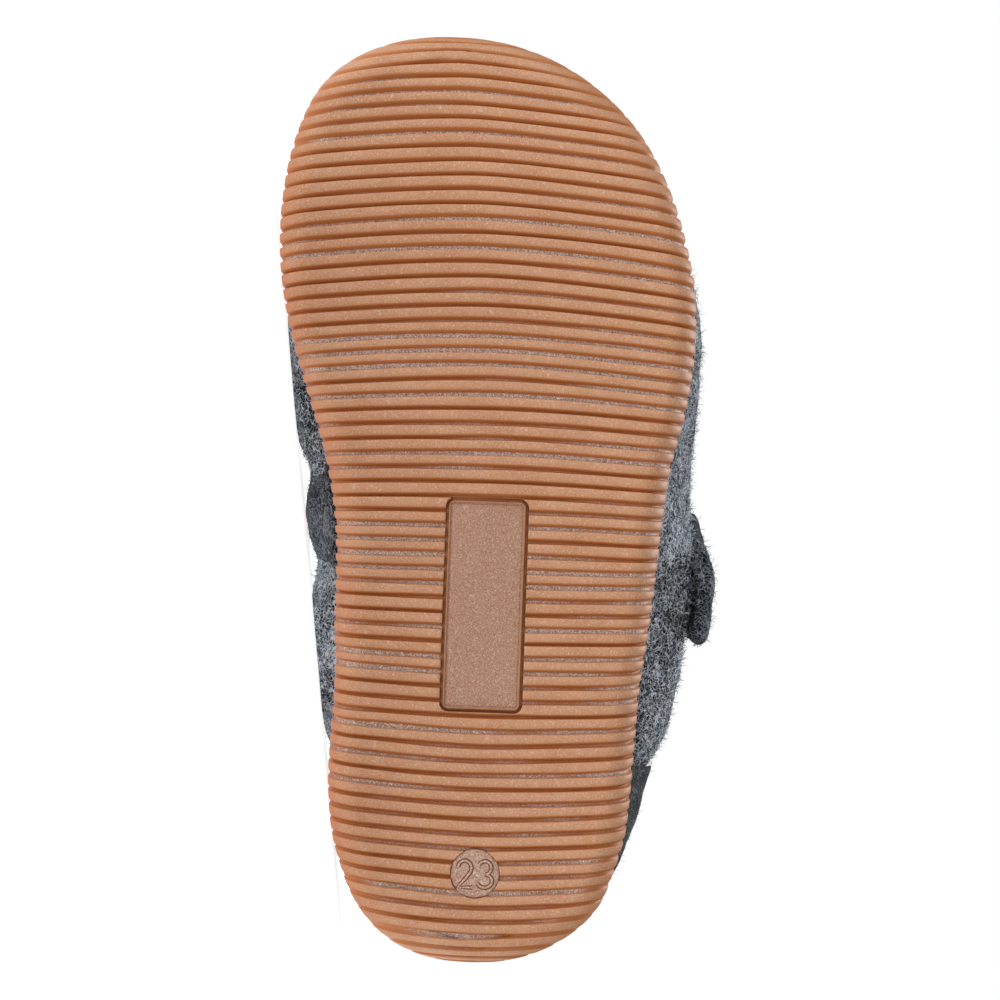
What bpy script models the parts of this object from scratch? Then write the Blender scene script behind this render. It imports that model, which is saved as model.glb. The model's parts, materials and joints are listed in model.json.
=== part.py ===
"""A child's felt slipper for the left foot, lying on its inner side.

The slipper is modelled standing, in metres: +X runs from heel to toe, +Y to the
outer side and +Z up, with the tread on Z = 0. One empty then lays it on the floor
on the edge of its sole and the side of its felt.
"""
import math
from collections import namedtuple

import bmesh
import bpy
from mathutils import Matrix, Vector

# Driving dimensions
SOLE_LENGTH = 0.162
BALL_WIDTH = 0.072
INSTEP_HEIGHT = 0.058
HEEL_HEIGHT = 0.050

FELT = 0.003
CLEARANCE = 0.0003

SOLE_WALL = 0.0025
SOLE_FLOOR = 0.0045
SOLE_SIDE = 0.0110
SOLE_LIP = 0.0009
TOE_SPRING = 0.0060
HEEL_SPRING = 0.0010

RIM_REACH = 0.0050
RIM_RISE = 0.0062
RIB_PITCH = 0.00252
RIB_CREST = 0.0014
RIB_DEPTH = 0.0013

PLATE_LENGTH = 0.0357
PLATE_WIDTH = 0.0132
PLATE_CENTRE = 0.0625
PLATE_SINK = 0.0001
PLATE_MARGIN = 0.0009
PLATE_CORNER = 0.0010

MEDALLION_RADIUS = 0.0042
MEDALLION_CENTRE = 0.0165
MEDALLION_SINK = 0.0001

INSOLE = 0.0030

THROAT_WIDTH = 0.027
COLLAR_LEAN = 0.0035
TOE_HEIGHT = 0.019

STRAP_WIDTH = 0.024
STRAP = 0.0024
STRAP_LIFT = 0.0016
STRAP_ROOT = 0.482
STRAP_END = 0.400

COUNTER = 0.0010
COUNTER_REACH = 0.205
COUNTER_HEIGHT = 0.036
COUNTER_DROP = 0.28

# How blunt the ends of the last are: reach as a share of the length, power of the round
End = namedtuple("End", "reach power")
HEEL_END = End(0.165, 2.25)
TOE_END = End(0.260, 2.15)
TOE_RISE = End(0.150, 2.30)
TIP = 0.0004

# The sole's outline. half and spine are shares of the ball width: half the width before
# the ends round off, and the offset of its middle to the outer side.
Outline = namedtuple("Outline", "share half spine")
OUTLINE = (
    Outline(0.00, 0.346, -0.008),
    Outline(0.06, 0.352, 0.004),
    Outline(0.10, 0.349, 0.003),
    Outline(0.15, 0.359, 0.003),
    Outline(0.20, 0.367, 0.003),
    Outline(0.30, 0.369, 0.013),
    Outline(0.36, 0.380, 0.019),
    Outline(0.42, 0.387, 0.025),
    Outline(0.48, 0.397, 0.026),
    Outline(0.54, 0.419, 0.021),
    Outline(0.60, 0.456, 0.015),
    Outline(0.66, 0.486, 0.001),
    Outline(0.72, 0.500, -0.015),
    Outline(0.78, 0.496, -0.034),
    Outline(0.84, 0.495, -0.053),
    Outline(0.90, 0.502, -0.075),
    Outline(0.95, 0.514, -0.100),
    Outline(1.00, 0.525, -0.120),
)

# The felt at its belly: how far it stands out past the sole on the inner and the outer
# side, as shares of the ball width, the height of the belly and of the ridge over the
# foot, as shares of the instep height, and the ridge's offset, of the ball width.
Belly = namedtuple("Belly", "share inner outer height ridge offset")
BELLY = (
    Belly(0.00, -0.008, -0.008, 0.40, 1.12, 0.000),
    Belly(0.08, 0.010, 0.022, 0.42, 1.12, 0.000),
    Belly(0.15, -0.002, 0.040, 0.45, 1.12, 0.000),
    Belly(0.21, 0.004, 0.068, 0.47, 1.11, 0.003),
    Belly(0.25, 0.036, 0.104, 0.48, 1.11, 0.006),
    Belly(0.31, 0.062, 0.115, 0.50, 1.10, 0.010),
    Belly(0.36, 0.052, 0.114, 0.52, 1.08, 0.008),
    Belly(0.41, 0.044, 0.108, 0.52, 1.05, 0.004),
    Belly(0.47, 0.055, 0.101, 0.52, 1.01, -0.006),
    Belly(0.53, 0.046, 0.094, 0.51, 0.96, -0.018),
    Belly(0.59, 0.064, 0.060, 0.49, 0.90, -0.032),
    Belly(0.65, 0.036, 0.044, 0.46, 0.83, -0.048),
    Belly(0.71, 0.016, 0.040, 0.43, 0.76, -0.064),
    Belly(0.78, 0.008, 0.020, 0.38, 0.68, -0.080),
    Belly(0.86, -0.006, 0.000, 0.33, 0.62, -0.098),
    Belly(0.93, -0.012, -0.010, 0.29, 0.58, -0.114),
    Belly(1.00, -0.014, -0.014, 0.26, 0.56, -0.124),
)
CROWN_ACROSS = 0.80
CROWN_UP = 0.84

# The collar: its height as a share of the heel height, and in front the width left open
# over the ridge as a share of the throat width.
Collar = namedtuple("Collar", "share height gap")
COLLAR = (
    Collar(0.00, 1.00, 3.00),
    Collar(0.06, 0.990, 3.00),
    Collar(0.14, 0.945, 3.00),
    Collar(0.22, 0.890, 3.00),
    Collar(0.29, 0.870, 2.80),
    Collar(0.34, 0.900, 2.30),
    Collar(0.39, 0.980, 1.60),
    Collar(0.44, 1.000, 1.00),
    Collar(0.50, 1.000, 0.62),
    Collar(0.56, 1.000, 0.40),
    Collar(0.60, 1.000, 0.20),
    Collar(0.62, 1.000, 0.00),
)


def column(rows, name, share):
    """One column of a table at a share of the length, on a smooth curve through its rows."""
    ats = [row.share for row in rows]
    values = [getattr(row, name) for row in rows]
    share = min(max(share, ats[0]), ats[-1])
    k = max(i for i in range(len(ats) - 1) if ats[i] <= share)

    def slope(i):
        low, high = max(i - 1, 0), min(i + 1, len(ats) - 1)
        return (values[high] - values[low]) / (ats[high] - ats[low])

    step = ats[k + 1] - ats[k]
    t = (share - ats[k]) / step
    return (
        values[k] * (2 * t**3 - 3 * t**2 + 1)
        + values[k + 1] * (3 * t**2 - 2 * t**3)
        + slope(k) * step * (t**3 - 2 * t**2 + t)
        + slope(k + 1) * step * (t**3 - t**2)
    )


def rounded(run, end):
    """How full an end is, from 0 at its tip to 1 at its reach."""
    t = min(max(run / end.reach, 0.0), 1.0)
    return (1 - (1 - t) ** end.power) ** (1 / end.power)


def half_width(share, inset):
    """Half the width of the outline drawn in by inset."""
    fullness = rounded(share, HEEL_END) * rounded(1 - share, TOE_END)
    return (column(OUTLINE, "half", share) * BALL_WIDTH - inset) * fullness


def spine(share):
    return column(OUTLINE, "spine", share) * BALL_WIDTH


def along(share, inset):
    """Distance from the heel of a station on the outline drawn in by inset."""
    return inset + share * (SOLE_LENGTH - 2 * inset)


def spring(x):
    """How far the tread has lifted off the floor."""
    toe = max(0.0, (x / SOLE_LENGTH - 0.72) / 0.28)
    heel = max(0.0, (0.06 - x / SOLE_LENGTH) / 0.06)
    return TOE_SPRING * toe**2 + HEEL_SPRING * heel**2


def lip_height(share):
    """Top of the sole's side wall over the tread, a little higher at both ends."""
    return SOLE_SIDE * (1 + 0.22 * abs(2 * share - 1) ** 3)


def stations():
    """Shares of the length at which the skins have a row: the tables' own, and more at both ends."""
    tips = {0.0, 0.003, 0.012, 0.028, 0.045}
    tabled = {row.share for row in BELLY + COLLAR}
    return sorted(tips | {round(1 - tip, 4) for tip in tips} | tabled)


def loft(name, rows, ring=False):
    """A skin over rows of points, or a closed body when each row is a ring."""
    mesh = bpy.data.meshes.new(name)
    bm = bmesh.new()
    grid = [[bm.verts.new(p) for p in row] for row in rows]
    width = len(rows[0])
    for near, far in zip(grid, grid[1:]):
        for k in range(width if ring else width - 1):
            n = (k + 1) % width
            bm.faces.new((near[k], near[n], far[n], far[k]))
    if ring:
        bm.faces.new(reversed(grid[0]))
        bm.faces.new(grid[-1])
    bmesh.ops.remove_doubles(bm, verts=bm.verts, dist=1e-6)
    bm.to_mesh(mesh)
    bm.free()
    return bpy.data.objects.new(name, mesh)


def place(obj, collection, material=None):
    collection.objects.link(obj)
    if material:
        obj.data.materials.append(material)
    return obj


def cutter(obj, collection):
    """An object that only cuts or joins another one."""
    place(obj, collection)
    obj.hide_render = True
    obj.display_type = "WIRE"
    return obj


def boolean(obj, other, operation):
    mod = obj.modifiers.new(other.name, "BOOLEAN")
    mod.operation = operation
    mod.object = other
    mod.solver = "EXACT"


def thicken(obj, thickness, outward):
    mod = obj.modifiers.new("thickness", "SOLIDIFY")
    mod.thickness = thickness
    mod.offset = 1.0 if outward else -1.0


def material(name, rgb, roughness):
    made = bpy.data.materials.new(name)
    made.use_nodes = True
    shader = made.node_tree.nodes["Principled BSDF"]
    shader.inputs["Base Color"].default_value = (*rgb, 1.0)
    shader.inputs["Roughness"].default_value = roughness
    return made


def sole_ring(x, sink):
    """The sole's section at x, with its skin sunk by sink where a groove runs."""
    room = min(x, SOLE_LENGTH - x)
    reach = math.acos(1 - min(RIM_REACH, room * 0.98) / RIM_REACH)
    steps = 3
    points = []
    for k in range(steps + 1):
        turn = reach * (1 - k / steps)
        inset = RIM_REACH * (1 - math.cos(turn))
        share = (x - inset) / (SOLE_LENGTH - 2 * inset)
        half = half_width(share, inset) - sink * 0.6 * math.cos(turn)
        rise = RIM_RISE * (1 - math.sin(turn)) + sink * math.sin(turn)
        points.append((share, half, rise))
    share = x / SOLE_LENGTH
    lip = lip_height(share)
    half = half_width(share, 0)
    points.append((share, half, lip - SOLE_LIP * 1.6))
    points.append((share, half * (1 - SOLE_LIP / half_width(0.5, 0)), lip))
    lift = spring(x)
    inner = [Vector((x, spine(s) - max(h, 0.0001), z + lift)) for s, h, z in points]
    outer = [Vector((x, spine(s) + max(h, 0.0001), z + lift)) for s, h, z in points]
    return inner[::-1] + outer


def rib_stations():
    """Where each groove and each edge of a crest crosses the sole, evenly spaced on its skin."""
    fine = 2000
    xs = [SOLE_LENGTH * k / fine for k in range(fine + 1)]
    run = [0.0]
    for a, b in zip(xs, xs[1:]):
        rise = sole_bottom(b) - sole_bottom(a)
        run.append(run[-1] + math.hypot(b - a, rise))
    count = round(run[-1] / RIB_PITCH)
    pitch = run[-1] / count
    flank = (1 - RIB_CREST / RIB_PITCH) / 2

    def at(distance):
        k = max(i for i in range(fine) if run[i] <= distance)
        return xs[k] + (distance - run[k]) / (run[k + 1] - run[k]) * (xs[k + 1] - xs[k])

    stations = []
    for n in range(count):
        if n:
            stations.append((at(n * pitch), RIB_DEPTH))
        stations.append((at((n + flank) * pitch), 0.0))
        stations.append((at((n + 1 - flank) * pitch), 0.0))
    return stations


def sole_bottom(x):
    """Height of the sole's skin along its middle."""
    room = min(x, SOLE_LENGTH - x, RIM_REACH)
    return RIM_RISE * (1 - math.sqrt(1 - (1 - room / RIM_REACH) ** 2)) + spring(x)


def cup(name, inset, top):
    """A body that fills the sole's cup, from its floor up to top."""
    rows = []
    for share in stations():
        share = min(max(share, TIP), 1 - TIP)
        x = along(share, inset)
        half = half_width(share, inset)
        low = SOLE_FLOOR + spring(x)
        left, right = spine(share) - half, spine(share) + half
        rows.append([
            Vector((x, left, top)), Vector((x, left, low)),
            Vector((x, right, low)), Vector((x, right, top)),
        ])
    return loft(name, rows, ring=True)


def rounded_block(name, length, width, corner, low, high, centre):
    """A flat block with rounded upright edges."""
    mesh = bpy.data.meshes.new(name)
    bm = bmesh.new()
    bmesh.ops.create_cube(bm, size=1.0)
    bmesh.ops.scale(bm, vec=(length, width, high - low), verts=bm.verts)
    upright = [e for e in bm.edges if abs(e.verts[0].co.z - e.verts[1].co.z) > (high - low) / 2]
    bmesh.ops.bevel(bm, geom=upright, offset=corner, segments=3, affect="EDGES", profile=0.5)
    bmesh.ops.translate(bm, vec=(centre, 0, (low + high) / 2), verts=bm.verts)
    bm.to_mesh(mesh)
    bm.free()
    return bpy.data.objects.new(name, mesh)


def disc(name, radius, low, high, centre):
    mesh = bpy.data.meshes.new(name)
    bm = bmesh.new()
    bmesh.ops.create_cone(
        bm, cap_ends=True, segments=32, radius1=radius, radius2=radius, depth=high - low
    )
    bmesh.ops.translate(bm, vec=(centre, 0, (low + high) / 2), verts=bm.verts)
    bm.to_mesh(mesh)
    bm.free()
    return bpy.data.objects.new(name, mesh)


def make_outsole(parts, cutters):
    rows = [sole_ring(x, sink) for x, sink in rib_stations()]
    outsole = place(loft("outsole", rows, ring=True), parts, material("rubber", (0.55, 0.28, 0.16), 0.5))
    hollow = cutter(cup("sole_hollow", SOLE_WALL, HEEL_HEIGHT), cutters)
    boolean(outsole, hollow, "DIFFERENCE")

    pocket_depth = RIB_DEPTH - PLATE_SINK
    pocket = rounded_block(
        "plate_pocket", PLATE_LENGTH + 2 * PLATE_MARGIN, PLATE_WIDTH + 2 * PLATE_MARGIN,
        PLATE_CORNER + PLATE_MARGIN, -RIB_DEPTH, pocket_depth, PLATE_CENTRE,
    )
    boolean(outsole, cutter(pocket, cutters), "DIFFERENCE")
    plate = rounded_block(
        "plate", PLATE_LENGTH, PLATE_WIDTH, PLATE_CORNER, PLATE_SINK, SOLE_FLOOR / 2, PLATE_CENTRE
    )
    boolean(outsole, cutter(plate, cutters), "UNION")

    sink = RIB_DEPTH + MEDALLION_SINK
    medallion = disc("medallion", MEDALLION_RADIUS, -RIB_DEPTH, sink, MEDALLION_CENTRE)
    boolean(outsole, cutter(medallion, cutters), "DIFFERENCE")
    return outsole


def felt_skin(share, side, turn):
    """A point on the felt's outside: turn runs from -2 at its lower edge over -1 at the
    sole's lip and 0 at the belly to 1 on the ridge, and side is -1 inside, 1 outside."""
    grip = SOLE_WALL + CLEARANCE
    name = "inner" if side < 0 else "outer"
    belly_out = column(BELLY, name, share) * BALL_WIDTH
    end_out = column(BELLY, "inner", round(share)) * BALL_WIDTH
    belly_up = column(BELLY, "height", share) * INSTEP_HEIGHT
    low = SOLE_FLOOR + CLEARANCE
    lip = lip_height(share) + 2 * CLEARANCE
    if turn <= -1:
        t = turn + 2
        x = along(share, grip)
        y = spine(share) + side * half_width(share, grip)
        return Vector((x, y, spring(x) + low + (lip - low) * t))
    if turn <= 0:
        t = turn + 1
        swell = math.sin(t * math.pi / 2)
        x = along(share, grip + (-end_out - grip) * swell)
        out = grip + (-belly_out - grip) * swell
        y = spine(share) + side * half_width(share, out)
        return Vector((x, y, spring(x) + lip + (belly_up - lip) * t))
    ridge = ridge_height(share)
    middle = spine(share)
    edge = middle + side * half_width(share, -belly_out)
    peak = middle + column(BELLY, "offset", share) * BALL_WIDTH * rounded(share, HEEL_END) \
        * rounded(1 - share, TOE_END)
    angle = turn * math.pi / 2
    y = peak + (edge - peak) * max(math.cos(angle), 0.0) ** CROWN_ACROSS
    z = belly_up + (ridge - belly_up) * math.sin(angle) ** CROWN_UP
    risen = min((z - belly_up) / (HEEL_HEIGHT - belly_up), 1.0)
    x = along(share, -end_out + COLLAR_LEAN * risen**2)
    return Vector((x, y, spring(x) + z))


def ridge_height(share):
    full = column(BELLY, "ridge", share) * INSTEP_HEIGHT
    return TOE_HEIGHT + (full - TOE_HEIGHT) * rounded(1 - share, TOE_RISE)


def turn_at(share, height):
    """The turn at which the felt reaches a height over the tread."""
    belly_up = column(BELLY, "height", share) * INSTEP_HEIGHT
    if height < belly_up:
        lip = lip_height(share)
        return (height - lip) / (belly_up - lip) - 1
    up = min((height - belly_up) / (ridge_height(share) - belly_up), 0.98)
    return math.asin(up ** (1 / CROWN_UP)) * 2 / math.pi


def felt_stop(share, side):
    """The turn at which the felt ends: at the collar, at the throat or on the ridge."""
    if share >= COLLAR[-1].share:
        return 1.0
    name = "inner" if side < 0 else "outer"
    by_height = turn_at(share, column(COLLAR, "height", share) * HEEL_HEIGHT)
    wide = half_width(share, -column(BELLY, name, share) * BALL_WIDTH)
    gap = column(COLLAR, "gap", share) * THROAT_WIDTH / 2
    across = min(max(gap / max(wide, gap), 0.0), 1.0)
    by_gap = math.acos(across ** (1 / CROWN_ACROSS)) * 2 / math.pi
    return max(by_height, by_gap)


def make_upper(parts):
    flare, crown = 5, 6
    bm = bmesh.new()
    for side in (-1, 1):
        rows = []
        for share in stations():
            stop = felt_stop(share, side)
            turns = [-2.0] + [-1 + k / flare for k in range(flare)]
            turns += [stop * k / crown for k in range(crown + 1)]
            rows.append([bm.verts.new(felt_skin(share, side, t)) for t in turns])
        for near, far in zip(rows, rows[1:]):
            for k in range(len(near) - 1):
                face = (near[k], far[k], far[k + 1], near[k + 1])
                bm.faces.new(face if side < 0 else reversed(face))
    bmesh.ops.remove_doubles(bm, verts=bm.verts, dist=1e-6)
    mesh = bpy.data.meshes.new("upper")
    bm.to_mesh(mesh)
    bm.free()
    upper = place(bpy.data.objects.new("upper", mesh), parts, material("felt", (0.17, 0.18, 0.19), 0.95))
    thicken(upper, FELT, outward=False)
    return upper


def off_felt(share, side, turn, outset):
    """A point at a distance outside the felt."""
    step = 0.0005
    here = felt_skin(share, side, turn)
    forward = felt_skin(min(share + step, 1), side, turn) - felt_skin(max(share - step, 0), side, turn)
    upward = felt_skin(share, side, turn + step) - felt_skin(share, side, turn - step)
    normal = forward.cross(upward).normalized() * -side
    return here + normal * outset


def make_counter(parts):
    rows = []
    reach, low = 12, -0.92
    for k in range(-reach, reach + 1):
        side = -1 if k < 0 else 1
        share = COUNTER_REACH * (abs(k) / reach) ** 1.6
        high = turn_at(share, COUNTER_HEIGHT * (1 - COUNTER_DROP * (abs(k) / reach) ** 2))
        turns = [low + (high - low) * t / 6 for t in range(7)]
        rows.append([off_felt(share, side, t, CLEARANCE) for t in turns])
    counter = place(
        loft("heel_counter", rows), parts, material("counter_felt", (0.045, 0.05, 0.052), 0.85)
    )
    thicken(counter, COUNTER, outward=True)
    return counter


def make_strap(parts):
    half = STRAP_WIDTH / SOLE_LENGTH / 2
    stops = [(-1, t) for t in (-0.85, -0.6, -0.35, -0.1, 0.1, 0.25, 0.4, 0.55, 0.7, 0.85)]
    stops += [(1, t) for t in (1.0, 0.85, 0.7, 0.55, 0.4, 0.25, 0.1, -0.05, -0.16, -0.24, -0.28)]
    rows = []
    last = len(stops) - 1
    round_from = last - 4
    for k, (side, turn) in enumerate(stops):
        travel = k / last
        middle = STRAP_ROOT + (STRAP_END - STRAP_ROOT) * travel
        over = max(0, k - round_from) / (last - round_from)
        wide = half * math.sqrt(1 - (0.94 * over) ** 2)
        lift = CLEARANCE + STRAP_LIFT * max(0.0, (travel - 0.6) / 0.4) ** 2
        rows.append([
            off_felt(middle + wide * (j / 3 - 1), side, turn, lift) for j in range(7)
        ])
    strap = place(loft("strap", rows), parts, material("strap_felt", (0.075, 0.08, 0.085), 0.9))
    thicken(strap, STRAP, outward=True)
    return strap


def make_insole(parts):
    inset = SOLE_WALL + FELT + 3 * CLEARANCE
    rows = []
    for share in stations():
        share = min(max(share, TIP), 1 - TIP)
        x = along(share, inset)
        half = half_width(share, inset)
        low = SOLE_FLOOR + CLEARANCE + spring(x)
        left, right = spine(share) - half, spine(share) + half
        rows.append([
            Vector((x, left, low + INSOLE)), Vector((x, left, low)),
            Vector((x, right, low)), Vector((x, right, low + INSOLE)),
        ])
    return place(
        loft("insole", rows, ring=True), parts, material("insole_felt", (0.35, 0.34, 0.32), 0.95)
    )


def solid_points(objects):
    """Corners of the finished solids, and their common centre of volume."""
    graph = bpy.context.evaluated_depsgraph_get()
    points, weight, moment = [], 0.0, Vector()
    for obj in objects:
        mesh = obj.evaluated_get(graph).to_mesh()
        mesh.calc_loop_triangles()
        corners = [v.co.copy() for v in mesh.vertices]
        for tri in mesh.loop_triangles:
            a, b, c = (corners[i] for i in tri.vertices)
            volume = a.dot(b.cross(c)) / 6
            weight += volume
            moment += volume * (a + b + c) / 4
        points += corners
        obj.evaluated_get(graph).to_mesh_clear()
    return points, moment / weight


def resting_turn(points, centre):
    """The turn that lays the slipper on the flat of its inner side under its weight."""
    bm = bmesh.new()
    for p in points:
        bm.verts.new(p)
    hull = bmesh.ops.convex_hull(bm, input=bm.verts)
    best = None
    for face in (g for g in hull["geom"] if isinstance(g, bmesh.types.BMFace)):
        n = face.normal
        if n.y > -0.9:
            continue
        foot = centre + n * (face.verts[0].co - centre).dot(n)
        a, b, c = (v.co for v in face.verts)
        inside = min((q - p).cross(foot - p).dot(n) for p, q in ((a, b), (b, c), (c, a)))
        if best is None or inside > best[0]:
            best = (inside, n.copy())
    bm.free()
    down = best[1]
    front = Vector((0, 0, -1))
    front = (front - front.dot(down) * down).normalized()
    return Matrix((front.cross(down), -front, -down)).to_4x4()


def lay_down(parts, cutters):
    """Parents everything to one empty that turns the slipper and sets it on the floor."""
    bpy.context.view_layer.update()
    objects = list(parts.objects)
    points, centre = solid_points(objects)
    turn = resting_turn(points, centre)
    turned = [turn @ p for p in points]
    low = [min(p[k] for p in turned) for k in range(3)]
    high = [max(p[k] for p in turned) for k in range(3)]
    shift = Vector((-(low[0] + high[0]) / 2, -(low[1] + high[1]) / 2, -low[2]))
    rest = bpy.data.objects.new("laid_on_its_side", None)
    parts.objects.link(rest)
    rest.matrix_world = Matrix.Translation(shift) @ turn
    for obj in objects + list(cutters.objects):
        obj.parent = rest
    bpy.context.view_layer.update()


def main():
    for obj in list(bpy.data.objects):
        bpy.data.objects.remove(obj, do_unlink=True)
    parts = bpy.data.collections.new("felt_slipper")
    cutters = bpy.data.collections.new("cutters")
    for collection in (parts, cutters):
        bpy.context.scene.collection.children.link(collection)
    make_outsole(parts, cutters)
    make_insole(parts)
    make_upper(parts)
    make_counter(parts)
    make_strap(parts)
    lay_down(parts, cutters)


main()
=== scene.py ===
import json
import math

import bmesh
import bpy
import numpy as np
from mathutils import Matrix, Vector, noise


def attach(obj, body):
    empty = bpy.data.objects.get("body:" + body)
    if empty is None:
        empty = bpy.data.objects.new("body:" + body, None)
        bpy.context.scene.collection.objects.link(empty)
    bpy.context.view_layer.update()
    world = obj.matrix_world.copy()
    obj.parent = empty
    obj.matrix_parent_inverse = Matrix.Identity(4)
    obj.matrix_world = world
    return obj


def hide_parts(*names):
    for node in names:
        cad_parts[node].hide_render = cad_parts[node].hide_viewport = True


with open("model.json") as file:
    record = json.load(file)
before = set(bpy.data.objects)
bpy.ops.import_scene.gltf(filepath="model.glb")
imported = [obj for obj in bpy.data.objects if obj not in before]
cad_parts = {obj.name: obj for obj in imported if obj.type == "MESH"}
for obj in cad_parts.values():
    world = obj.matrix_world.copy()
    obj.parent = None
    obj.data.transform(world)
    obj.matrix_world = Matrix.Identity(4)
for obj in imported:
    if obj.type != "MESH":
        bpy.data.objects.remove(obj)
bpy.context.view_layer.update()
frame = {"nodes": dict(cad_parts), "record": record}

# The slipper's own frame in metres: x from heel to toe, y to the outer side, z up from the tread.
# The two flat spots of the tread say where it lies.
lastLength = 0.162
ballWidth = 0.072
heelSpot = 0.027168


def shoeFrame(record):
    mounts = {m["name"]: m for m in record["mounts"]}
    heel = Vector(mounts["heel_tread"]["pos_m"])
    toe = (Vector(mounts["forefoot_tread"]["pos_m"]) - heel).normalized()
    up = -Vector(mounts["heel_tread"]["axis"]).normalized()
    outer = up.cross(toe).normalized()
    turned = Matrix((toe, outer, up)).transposed().to_4x4()
    return Matrix.Translation(heel - toe * heelSpot) @ turned


shoe = shoeFrame(frame["record"])
shoeTurn = np.array(shoe.to_3x3())
shoeOrigin = np.array(shoe.translation)


def fromShoe(points):
    return np.asarray(points) @ shoeTurn.T + shoeOrigin


def toShoe(points):
    return (np.asarray(points) - shoeOrigin) @ shoeTurn


def smoothStep(x, low, high):
    t = np.clip((np.asarray(x, float) - low) / (high - low), 0, 1)
    return t * t * (3 - 2 * t)


# A smooth curve through a short table
def throughRows(share, ats, values):
    ats, values = np.array(ats, float), np.array(values, float)
    share = np.clip(share, ats[0], ats[-1])
    k = np.clip(np.searchsorted(ats, share, "right") - 1, 0, len(ats) - 2)
    rows = np.arange(len(ats))
    low = np.maximum(rows - 1, 0)
    high = np.minimum(rows + 1, len(ats) - 1)
    slope = (values[high] - values[low]) / (ats[high] - ats[low])
    step = ats[k + 1] - ats[k]
    t = (share - ats[k]) / step
    return (
        values[k] * (2 * t**3 - 3 * t**2 + 1) + values[k + 1] * (3 * t**2 - 2 * t**3)
        + slope[k] * step * (t**3 - 2 * t**2 + t) + slope[k + 1] * step * (t**3 - t**2)
    )


def meshPiece(name, points, faces, material, replaced=()):
    mesh = bpy.data.meshes.new(name)
    mesh.from_pydata(np.asarray(points).tolist(), [], faces)
    mesh.update()
    return dress(bpy.data.objects.new(name, mesh), material, replaced)


# Gives a piece its material, hangs it on the root body and hides the solid parts it replaces
def dress(piece, material, replaced=()):
    if piece.name not in bpy.context.scene.collection.objects:
        bpy.context.scene.collection.objects.link(piece)
    piece.data.materials.clear()
    piece.data.materials.append(material)
    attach(piece, "root")
    if replaced:
        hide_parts(*replaced)
    return piece


def paintPoints(mesh, name, values):
    layer = mesh.attributes.new(name, "FLOAT", "POINT")
    layer.data.foreach_set("value", np.asarray(values, np.float32).ravel())


# Applies a piece's modifiers
def settled(piece):
    graph = bpy.context.evaluated_depsgraph_get()
    mesh = bpy.data.meshes.new_from_object(piece.evaluated_get(graph))
    piece.modifiers.clear()
    piece.data = mesh
    piece.data.name = piece.name


def pointsOf(mesh):
    found = np.zeros(len(mesh.vertices) * 3)
    mesh.vertices.foreach_get("co", found)
    return found.reshape(-1, 3)


def movePoints(mesh, points):
    mesh.vertices.foreach_set("co", np.asarray(points, np.float32).ravel())
    mesh.update()


# Shared shader groups, with short ways to place and join nodes in one tree
class Wiring:
    def __init__(self, tree):
        self.tree = tree

    def node(self, kind, links=None, **values):
        made = self.tree.nodes.new(kind)
        for key, value in values.items():
            if hasattr(made, key):
                setattr(made, key, value)
        for key, value in (links or {}).items():
            if isinstance(value, bpy.types.NodeSocket):
                self.tree.links.new(value, made.inputs[key])
            else:
                made.inputs[key].default_value = value
        return made

    def math(self, operation, a, b=0.0, clamp=False):
        return self.node("ShaderNodeMath", {0: a, 1: b}, operation=operation, use_clamp=clamp).outputs[0]

    def mix(self, factor, a, b):
        made = self.node("ShaderNodeMix", data_type="RGBA")
        for socket, value in ((made.inputs[0], factor), (made.inputs[6], a), (made.inputs[7], b)):
            if isinstance(value, bpy.types.NodeSocket):
                self.tree.links.new(value, socket)
            else:
                socket.default_value = value
        return made.outputs[2]

    def ramp(self, value, low, high, start=0.0, end=1.0):
        return self.node(
            "ShaderNodeMapRange", {0: value, 1: low, 2: high, 3: start, 4: end}, clamp=True
        ).outputs[0]

    def shifted(self, vector, by):
        return self.node("ShaderNodeVectorMath", {0: vector, 1: by}, operation="ADD").outputs[0]

    def noise(self, vector, scale, detail=2.0, rough=0.5):
        links = {"Vector": vector, "Scale": scale, "Detail": detail, "Roughness": rough}
        return self.node("ShaderNodeTexNoise", links).outputs["Fac"]


def shaderGroup(name, inputs, outputs, build):
    group = bpy.data.node_groups.new(name, "ShaderNodeTree")
    for label, kind, value in inputs:
        socket = group.interface.new_socket(label, in_out="INPUT", socket_type=kind)
        socket.default_value = value
    for label, kind in outputs:
        group.interface.new_socket(label, in_out="OUTPUT", socket_type=kind)
    into, out = group.nodes.new("NodeGroupInput"), group.nodes.new("NodeGroupOutput")
    results = build(Wiring(group), into.outputs)
    for label, value in results.items():
        group.links.new(value, out.inputs[label])
    return group


# A colour given as 0 to 255, made linear
def srgb(r, g, b):
    linear = [(c / 255 / 12.92) if c <= 10 else ((c / 255 + 0.055) / 1.055) ** 2.4 for c in (r, g, b)]
    return (*linear, 1.0)


# Fine curly fibres: the level lines of four noises, laid over each other.
# Each layer has a scale, a line width and a strength.
tangleLook = {
    "layers": ((760.0, 0.050, 1.0), (1080.0, 0.055, 0.85), (1500.0, 0.065, 0.68), (2100.0, 0.075, 0.45)),
    "layerShift": (0.31, 0.17, 0.53), "bendScale": 260.0, "bend": 0.0011,
    "patchScale": 210.0, "patches": 0.22, "cloudScale": 55.0, "clouds": 0.10,
    "shareFrom": 0.14, "shareTo": 0.76,
}


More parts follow.
